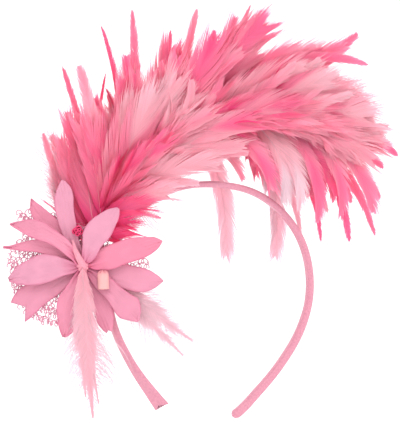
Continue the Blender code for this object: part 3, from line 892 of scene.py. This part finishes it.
def feather_material(name, roughness, through):
    """Dyed feather: matt barbs with a faint gloss, thin enough that light comes through them."""
    material, tree, shader = new_material(name, roughness, 0.04)
    dye = add_node(tree, "ShaderNodeAttribute", attribute_name="dye")
    tree.links.new(dye.outputs["Color"], shader.inputs["Base Color"])
    glow = add_node(tree, "ShaderNodeBsdfTranslucent", {"Color": dye.outputs["Color"]})
    mixed = add_node(tree, "ShaderNodeMixShader", {1: shader.outputs[0], 2: glow.outputs[0]})
    mixed.inputs[0].default_value = through
    tree.links.new(mixed.outputs[0], tree.nodes["Material Output"].inputs["Surface"])
    return material


def satin_material():
    """Satin ribbon: smooth polyester with a soft gloss and threads too fine to see one by one."""
    material, tree, shader = new_material("satin_ribbon", 0.42, 0.35)
    streaks = add_noise(tree, 900.0, 3.0)
    add_ramp(tree, shader, streaks, ("#C07D90", "#D18C9D"), (0.3, 0.7))
    add_relief(tree, shader, streaks, 0.12, 0.0002)
    return material


def petal_material():
    """Stiffened woven cloth: matt, with a fine weave and a slight mottle in its dye."""
    material, tree, shader = new_material("petal_cloth", 0.7, 0.15)
    dye = add_node(tree, "ShaderNodeAttribute", attribute_name="dye")
    noise = add_noise(tree, 120.0, 4.0)
    mottle = add_node(tree, "ShaderNodeMapRange", {"Value": noise}, To_Min=0.9, To_Max=1.1)
    sources = {"Color": dye.outputs["Color"], "Value": mottle.outputs["Result"]}
    tone = add_node(tree, "ShaderNodeHueSaturation", sources)
    tree.links.new(tone.outputs["Color"], shader.inputs["Base Color"])
    flat = add_node(tree, "ShaderNodeTexCoord").outputs["UV"]
    weave = add_node(tree, "ShaderNodeTexWave", {"Vector": flat}, Scale=9.0, Distortion=2.0)
    add_relief(tree, shader, weave.outputs["Fac"], 0.2, 0.0002)
    return material


def plain_cloth(name, light, dark, roughness, scale):
    """A dyed fibre surface: two close tones in a fine noise, which also gives its relief."""
    material, tree, shader = new_material(name, roughness)
    fibres = add_noise(tree, scale, 5.0)
    add_ramp(tree, shader, fibres, (dark, light))
    add_relief(tree, shader, fibres, 0.4, 0.0004)
    return material


def strip_section(place, ahead, width, thickness, twist=0.0, notch=0.0):
    """A ring of points round the strip's middle line: a rounded oblong, turned about the line."""
    front = Vector(FRONT)
    outward = front.cross(ahead).normalized()
    turned = Matrix.Rotation(twist, 3, ahead)
    ring = []
    for turn in np.arange(BAND_SIDES) * 2 * math.pi / BAND_SIDES:
        x, y = math.cos(turn), math.sin(turn)
        across = width / 2 * math.copysign(abs(x) ** 0.6, x)
        out = thickness / 2 * math.copysign(abs(y) ** 0.7, y)
        back = notch * (1 - abs(across) / (width / 2))
        ring.append(place + turned @ (front * across + outward * out) + ahead * back)
    return ring


class HEADBAND_OT_band(bpy.types.Operator):
    """Make the satin-covered band with its rounded end and its flared, notched end"""

    bl_idname = "headband.band"
    bl_label = "Make band"

    def execute(self, context):
        steps = context.scene.headband_band.steps
        places = [band_point(turn) for turn in np.linspace(-LEFT_END_TURN, RIGHT_END_TURN, steps + 1)]
        run = [0.0]
        for here, there in zip(places, places[1:]):
            run.append(run[-1] + (there - here).length)
        sections = []
        for i, place in enumerate(places):
            ahead = (places[min(i + 1, steps)] - places[max(i - 1, 0)]).normalized()
            flare = max(0.0, 1 - run[i] / FLARE_LENGTH) ** 1.6
            swell = SWELL * max(0.0, 1 - (run[-1] - run[i]) / SWELL_LENGTH) ** 0.7
            width = 2 * RIBBON + STRIP_WIDTH + (FLARE_WIDTH - STRIP_WIDTH) * flare
            thickness = 2 * RIBBON + STRIP_THICKNESS + (FLARE_THICKNESS - STRIP_THICKNESS) * flare + swell
            twist = math.radians(FLARE_TWIST) * flare
            notch = NOTCH_DEPTH * max(0.0, 1 - run[i] / NOTCH_LENGTH)
            outward = Vector(FRONT).cross(ahead).normalized() * (FLARE_OUT * flare**0.5 - 0.7 * swell)
            sections.append(strip_section(place + outward, ahead, width, thickness, twist, notch))
        ahead = (places[-1] - places[-2]).normalized()
        thickness = STRIP_THICKNESS + SWELL
        for share in (0.4, 0.7, 0.88, 0.97):
            size = math.sqrt(1 - share * share)
            middle = places[-1] + outward + ahead * ROUND_END * share
            sections.append(strip_section(middle, ahead, STRIP_WIDTH * size, thickness * size))
        bm = bmesh.new()
        rings = [[bm.verts.new(point) for point in section] for section in sections]
        for here, there in zip(rings, rings[1:]):
            for k in range(BAND_SIDES):
                bm.faces.new((here[k - 1], here[k], there[k], there[k - 1]))
        bm.faces.new(rings[0])
        bm.faces.new(rings[-1])
        bmesh.ops.recalc_face_normals(bm, faces=bm.faces)
        mesh = mesh_from("band_cover", bm)
        mesh.set_sharp_from_angle(angle=math.radians(50))
        settle("band_cover", mesh, satin_material(), "hair_band")
        return {"FINISHED"}


def petal_edges(petal, start, along):
    """How far a petal reaches to the two sides of its angle, cut in at the root where it is gathered."""
    most = 0.6 * (start + (petal.length - start) * along) + 0.6
    reaches = []
    for side, edge in ((-1, petal.clockwise), (1, petal.counter)):
        rows = [(0.0, side * PETAL_ROOT_HALF)] + list(zip(EDGE_AT, edge))
        reaches.append(min(max(smooth_between(rows, along), -most), most))
    return reaches


def ways_of(angle):
    """The way out from the flower's middle at an angle, and the way square to it, as right and up."""
    return np.array(((math.cos(angle), math.sin(angle)), (-math.sin(angle), math.cos(angle))))


def make_petal(petal, settings, rng, material):
    """A cloth petal, creased along its middle, wrinkled, and pleated where it is gathered."""
    bm = bmesh.new()
    bmesh.ops.create_grid(bm, x_segments=16, y_segments=settings.rows, size=0.5)
    uv_layer = bm.loops.layers.uv.verify()
    outward, sideways = ways_of(math.radians(petal.angle))
    base = PETALS_OUT + petal.layer * LAYER_STEP + 0.5
    is_tab = petal.node == "petal_tab"
    start = TAB_ROOT if is_tab else PETAL_ROOT
    phase = rng.uniform(0, 6.28, 6)
    rose, mauve, root_shade_and_edge, pale = (np.array(linear(dye)) for dye in (*PETAL_DYES, PETAL_ROOT_SHADE_AND_EDGE, TAB_DYE))
    folds = rng.uniform(-0.6, 0.6, 3)
    flat, dyes = {}, []
    for vert in bm.verts:
        side, along = vert.co.x * 2, vert.co.y + 0.5
        low, high = petal_edges(petal, start, along)
        half = (high - low) / 2
        ripple = 0.35 * math.sin(phase[4] + 13 * along + 2 * side) * abs(side) * math.sin(math.pi * along)
        reach = start + (petal.length - start) * along - petal.notch * (1 - abs(side)) * along**6
        across = (high + low) / 2 + side * half + ripple
        right, up = outward * reach + sideways * across
        cup = petal.cup * abs(side) ** 1.5 * math.sin(math.pi * along)
        crease = sum(math.exp(-(((side - fold) * half / 0.7) ** 2)) for fold in folds) * 0.5 * (along - 1)
        wave = 0.55 * math.sin(phase[0] + 5.5 * along + 2.2 * side)
        wave += 0.30 * math.sin(phase[1] + 12 * along - 4 * side)
        wave += 0.35 * math.sin(phase[2] + 3.5 * across)
        pleat = 0.5 * math.sin(phase[3] + 8 * side) * max(0.0, 1 - along / 0.4) ** 1.2
        curl = 0.9 * math.sin(phase[5]) * abs(side) ** 3 * along
        wrinkles = petal.wrinkle * wave * along**0.4 + pleat + curl
        out = base + petal.lift * along * along + cup + crease + wrinkles
        if is_tab:
            bend = across / TAB_ROLL
            middle = (start + petal.length) / 2
            lengthways, crossways = ways_of(TAB_ANGLE)
            spot = outward * middle + lengthways * (reach - middle)
            right, up = spot + crossways * TAB_ROLL * math.sin(bend)
            out += TAB_ROLL * math.cos(bend)
        vert.co = flower_place(right, up, out)
        flat[vert] = (across, reach)
        colour = pale if is_tab else rose + (mauve - rose) * petal.tone
        # Painted shade: each petal darkens towards its gathered, pleated root at the flower's middle; the next
        # line darkens its very edges
        colour = colour + (root_shade_and_edge - colour) * 0.45 * max(0.0, 1 - along / 0.25)
        colour = colour + (root_shade_and_edge - colour) * 0.30 * abs(side) ** 9
        dyes.append(colour)
    for face in bm.faces:
        for loop in face.loops:
            x, y = flat[loop.vert]
            loop[uv_layer].uv = (x / 10, y / 10)
    bmesh.ops.recalc_face_normals(bm, faces=bm.faces)
    if bm.faces[:][len(bm.faces) // 2].normal.dot(Vector(FLOWER_OUT)) < 0:
        bmesh.ops.reverse_faces(bm, faces=bm.faces)
    mesh = mesh_from(petal.node, bm)
    paint(mesh, dyes)
    piece = settle("cloth_" + petal.node, mesh, material, petal.node)
    thicken(piece, settings.cloth)


class HEADBAND_OT_petals(bpy.types.Operator):
    """Make the cloth petals and the folded tab"""

    bl_idname = "headband.petals"
    bl_label = "Make petals"

    def execute(self, context):
        material = petal_material()
        rng = np.random.default_rng(11)
        for petal in PETALS:
            make_petal(petal, context.scene.headband_flower, rng, material)
        return {"FINISHED"}


def knot_fold(turn):
    """The knot's gathers, as a share of its radius."""
    return 1 + 0.12 * math.sin(7 * turn) + 0.06 * math.sin(4 * turn + 1)


class HEADBAND_OT_heart(bpy.types.Operator):
    """Make the flower's backing, gathered knot and bud"""

    bl_idname = "headband.heart"
    bl_label = "Make heart"

    def execute(self, context):
        felt = plain_cloth("wool_felt", "#F59DB5", "#DE7892", 0.95, 700)
        bm = bmesh.new()
        made = bmesh.ops.create_cone(
            bm, cap_ends=True, segments=48, radius1=1, radius2=1, depth=BACKING_THICKNESS
        )
        for vert in made["verts"]:
            right, up = vert.co.x * BACKING_HALF_WIDTH, vert.co.y * BACKING_HALF_HEIGHT
            vert.co = flower_place(right, up, vert.co.z + BACKING_THICKNESS / 2)
        bmesh.ops.recalc_face_normals(bm, faces=bm.faces)
        rim = [e for e in bm.edges if len(e.link_faces) == 2 and e.calc_face_angle() > 1.0]
        bmesh.ops.bevel(bm, geom=rim, offset=0.4, segments=2, profile=0.5, affect="EDGES", material=-1)
        settle("felt_backing", mesh_from("felt_backing", bm), felt, "flower_backing")
        cloth = plain_cloth("gathered_cloth", "#E79BAA", "#CF7E92", 0.75, 500)
        knot = Feathers()
        for ridge in (KNOT, RIDGE):
            rows = range(len(ridge))
            steps = np.linspace(0, len(ridge) - 1, 40)
            right, up, out, radius = (np.interp(steps, rows, column) for column in zip(*ridge))
            line = flower_place(right, up, out)
            across, normal = beside(line, FLOWER_RIGHT + FLOWER_OUT * 0.3)
            add_tube(knot, line, across, normal, radius[:, None], 40, dye_at(0.8), knot_fold)
        knot.settle("gathered_knot", cloth, "flower_knot", "petal_cloth")
        bright = plain_cloth("bud_cloth", "#EE4478", "#B81A50", 0.8, 900)
        winds, height = 46, 8
        bud = Feathers()
        along, rise = np.meshgrid(np.linspace(0, 1, winds), np.linspace(0, 1, height), indexing="ij")
        turn = 2 * math.pi * BUD_TURNS * along
        crumple = 0.45 * np.sin(3.7 * turn) * rise + 0.5 * rise * rise * along
        reach = BUD_EYE + BUD_SPREAD * along + crumple
        top = BUD_MIDDLE - BUD_FALL * along + 0.4 * np.sin(2.3 * turn)
        out = PETALS_OUT + LAYER_STEP + CLOTH + 1.0 + top * rise
        sheet = flower_place(BUD_RIGHT + reach * np.cos(turn), BUD_UP + reach * np.sin(turn), out)
        corner = np.arange(winds - 1)[:, None] * height + np.arange(height - 1)[None, :]
        quads = np.stack([corner, corner + height, corner + height + 1, corner + 1], axis=-1)
        bud.add(sheet, quads, np.ones(sheet.shape))
        thicken(bud.settle("crumpled_bud", bright, "flower_bud", "bud_cloth"), BUD_CLOTH * MM)
        return {"FINISHED"}


def thread_rows():
    """Rows of looped thread across the ruff: each row is a run of small loops that catch the row below."""
    rng = np.random.default_rng(5)
    rows = []
    edge = np.array(NET_EDGE)
    for index, level in enumerate(np.arange(edge[0, 0], edge[-1, 0], NET_ROW)):
        left, right = (np.interp(level, edge[:, 0], edge[:, column]) for column in (1, 2))
        left, right = left + rng.uniform(-2.5, 1), right + rng.uniform(-2.5, 1)
        turns = (left + right) / NET_PITCH
        s = np.linspace(0, turns * 2 * math.pi, int(turns * LOOP_POINTS))
        uneven = 1 + 0.35 * np.sin(s * 0.37 + 2.1 * index) * np.sin(s * 0.11 + index)
        drift = 1.1 * np.sin(s / 7 + index) + 0.7 * np.sin(s / 3.1 + 2 * index)
        turn = s + (index % 2) * math.pi + 0.6 * np.sin(s * 0.53 + index)
        x = -left + s / (2 * math.pi) * NET_PITCH + LOOP_SIDE * uneven * np.sin(turn)
        y = level + LOOP_RISE * uneven * np.cos(turn) + drift
        wander = rng.standard_normal(len(s)).cumsum() / (np.arange(len(s)) + 8) ** 0.5
        z = 0.45 * np.sin(2 * s) + 0.25 * wander
        rows.append((x, y, np.clip(z, -0.6, 0.6)))
    return rows


class HEADBAND_OT_net(bpy.types.Operator):
    """Make the ruff of looped netting"""

    bl_idname = "headband.net"
    bl_label = "Make net"

    def execute(self, context):
        ruff = Feathers()
        for right, up, out in thread_rows():
            line = flower_place(right, up, NET_OUT + NET_THICKNESS / 2 + out)
            across, normal = beside(line, FLOWER_OUT)
            add_tube(ruff, line, across, normal, THREAD / 2, 5, dye_at(0.8))
        thread = plain_cloth("net_thread", "#E3A0B6", "#C87C98", 0.7, 1500)
        ruff.settle("looped_net", thread, "net_ruff", "looped_net")
        return {"FINISHED"}


class HEADBAND_OT_plume(bpy.types.Operator):
    """Make the plume: a bound stem, its locks of hackle, the broad feathers over them and the filling"""

    bl_idname = "headband.plume"
    bl_label = "Make plume"

    def execute(self, context):
        rng = np.random.default_rng(context.scene.headband_plume.seed)
        material = feather_material("dyed_hackle", 0.55, 0.42)
        bunches = {"plume_left": range(0, 12), "plume_crown": range(12, 25), "plume_tail": range(25, 40)}
        for name, numbers in bunches.items():
            feathers = Feathers()
            for number in numbers:
                add_lock(feathers, rng, number)
            feathers.settle(name, material, "plume", "hackle_feather")
        feathers = Feathers()
        add_stem(feathers)
        add_filling(feathers, rng)
        feathers.settle("plume_filling", material, "plume", "hackle_feather")
        feathers = Feathers()
        for broad in BROAD:
            add_broad(feathers, rng, broad)
        feathers.settle("plume_front", material, "plume", "hackle_feather")
        return {"FINISHED"}


# How far the long loose barbs lie behind the down
HALO_BACK = 1.6
Marabou = namedtuple("Marabou", "name node start ends out_start out_end core halo tone fade outline")
MARABOU = table(
    Marabou,
    ("fluffy_lower", "marabou_lower", (0.2, -1.0), ((10, -88), (5, -76), (13, -80)),
     12.9, 11.6, 8.8, 18.0, 1.1, 1.1, HALO_OUTLINE),
    ("fluffy_side", "marabou_side", (18.0, -9.0), ((66, -41), (61, -50), (52, -30)),
     1.0, 1.0, 7.5, 13.0, 1.3, 0.4, FLUFF_OUTLINE),
)
# The three parts of a marabou feather look a little to the right, to the left and straight out
MARABOU_TURNS = (0.3, -0.3, 0.0)


class HEADBAND_OT_marabou(bpy.types.Operator):
    """Make the two loose marabou feathers"""

    bl_idname = "headband.marabou"
    bl_label = "Make marabou"

    def execute(self, context):
        rng = np.random.default_rng(23)
        material = feather_material("marabou_down", 0.8, 0.4)
        for down in MARABOU:
            feathers = Feathers()
            first = flower_place(*down.start, down.out_start)
            coat = Coat(down.tone, down.tone, 1.0)
            for number, (right, up) in enumerate(down.ends):
                last = flower_place(right, up, down.out_end)
                control = (first + last) / 2 - 2 * FLOWER_RIGHT
                core = CORE._replace(half_width=down.core * (1 - 0.3 * number))
                add_feather(feathers, rng, (first, control, last), FLOWER_OUT, core, coat, 0.25)
                halo = HALO._replace(half_width=down.halo, outline=down.outline)
                face = unit(FLOWER_OUT + MARABOU_TURNS[number] * FLOWER_RIGHT)
                behind = [point - HALO_BACK * FLOWER_OUT for point in (first, control, last)]
                add_feather(feathers, rng, behind, face, halo, coat._replace(fade=down.fade), 0.1)
            feathers.settle(down.name, material, down.node, "marabou_down")
        return {"FINISHED"}


# The camera stands level, to the left of the front, and leans a little
CAMERA_AZIMUTH = math.radians(-20.0)
CAMERA_ROLL = math.radians(2.5)
CAMERA_DISTANCE = 1600.0
PIXEL = 0.6
IMAGE_HEIGHT = 425
AIM_RIGHT = -8.0
AIM_UP = -15.5
SENSOR = 36.0

# Soft lamps that look at the origin: place and size in metres, power in watts
SKY_STRENGTH = 1.25
Lamp = namedtuple("Lamp", "name place power size")
LAMPS = table(
    Lamp,
    ("key", (-0.7, -1.2, 1.2), 9.0, 0.8),
    ("fill", (1.2, -0.9, 0.3), 3.0, 1.0),
    ("rim", (0.4, 1.2, 0.9), 10.0, 0.9),
)


class HEADBAND_OT_stage(bpy.types.Operator):
    """Make the floor, the soft lights and the camera"""

    bl_idname = "headband.stage"
    bl_label = "Make stage"

    def execute(self, context):
        scene = context.scene
        back = Vector((math.sin(CAMERA_AZIMUTH), -math.cos(CAMERA_AZIMUTH), 0))
        right = Vector((math.cos(CAMERA_AZIMUTH), math.sin(CAMERA_AZIMUTH), 0))
        aim = (right * AIM_RIGHT + Vector((0, 0, AIM_UP))) * MM
        data = bpy.data.cameras.new("photo_camera")
        data.sensor_width = SENSOR
        data.lens = SENSOR * CAMERA_DISTANCE / (PIXEL * IMAGE_HEIGHT)
        data.clip_start = 0.01
        camera = bpy.data.objects.new("photo_camera", data)
        scene.collection.objects.link(camera)
        camera.location = aim + back * CAMERA_DISTANCE * MM
        camera.rotation_mode = "QUATERNION"
        lean = Matrix.Rotation(CAMERA_ROLL, 4, "Z").to_quaternion()
        camera.rotation_quaternion = (-back).to_track_quat("-Z", "Y") @ lean
        scene.camera = camera
        bm = bmesh.new()
        bmesh.ops.create_circle(bm, cap_ends=True, segments=96, radius=3.0)
        bmesh.ops.translate(bm, vec=(0, 0, scene.headband_stage.floor_drop), verts=bm.verts)
        mesh = bpy.data.meshes.new("pale_floor")
        bm.to_mesh(mesh)
        bm.free()
        coat, tree, shader = new_material("pale_paint", 0.9)
        add_ramp(tree, shader, add_noise(tree, 60.0), ("#FBFBFB", "#FEFEFE"))
        mesh.materials.append(coat)
        floor = bpy.data.objects.new("pale_floor", mesh)
        scene.collection.objects.link(floor)
        world = bpy.data.worlds.new("studio")
        world.use_nodes = True
        sky = world.node_tree.nodes["Background"]
        sky.inputs["Color"].default_value = (1, 1, 1, 1)
        sky.inputs["Strength"].default_value = SKY_STRENGTH
        scene.world = world
        for row in LAMPS:
            light = bpy.data.lights.new(row.name, "AREA")
            light.energy = row.power
            light.size = row.size
            lamp = bpy.data.objects.new(row.name, light)
            lamp.location = row.place
            lamp.rotation_mode = "QUATERNION"
            lamp.rotation_quaternion = (-Vector(row.place)).to_track_quat("-Z", "Y")
            scene.collection.objects.link(lamp)
        scene.view_settings.view_transform = "Standard"
        return {"FINISHED"}


class HEADBAND_PT_pieces(bpy.types.Panel):
    """Lists the pieces that can be made"""

    bl_label = "Headband"
    bl_idname = "HEADBAND_PT_pieces"
    bl_space_type = "VIEW_3D"
    bl_region_type = "UI"
    bl_category = "Headband"

    def draw(self, context):
        for operator in OPERATORS:
            self.layout.operator(operator.bl_idname)
        for settings in SETTINGS:
            box = self.layout.box()
            group = getattr(context.scene, settings)
            for name in SETTINGS[settings].__annotations__:
                box.prop(group, name)


OPERATORS = (
    HEADBAND_OT_band,
    HEADBAND_OT_heart,
    HEADBAND_OT_net,
    HEADBAND_OT_petals,
    HEADBAND_OT_marabou,
    HEADBAND_OT_plume,
    HEADBAND_OT_stage,
)
SETTINGS = {
    "headband_band": BandSettings,
    "headband_flower": FlowerSettings,
    "headband_plume": PlumeSettings,
    "headband_stage": StageSettings,
}


def register():
    for group in SETTINGS.values():
        bpy.utils.register_class(group)
    for operator in OPERATORS:
        bpy.utils.register_class(operator)
    bpy.utils.register_class(HEADBAND_PT_pieces)
    for name, group in SETTINGS.items():
        setattr(bpy.types.Scene, name, PointerProperty(type=group))


def unregister():
    for name in SETTINGS:
        delattr(bpy.types.Scene, name)
    bpy.utils.unregister_class(HEADBAND_PT_pieces)
    for operator in reversed(OPERATORS):
        bpy.utils.unregister_class(operator)
    for group in SETTINGS.values():
        bpy.utils.unregister_class(group)


def main():
    register()
    bpy.ops.headband.band()
    bpy.ops.headband.heart()
    bpy.ops.headband.net()
    bpy.ops.headband.petals()
    bpy.ops.headband.marabou()
    bpy.ops.headband.plume()
    bpy.ops.headband.stage()


if __name__ == "__main__":
    main()
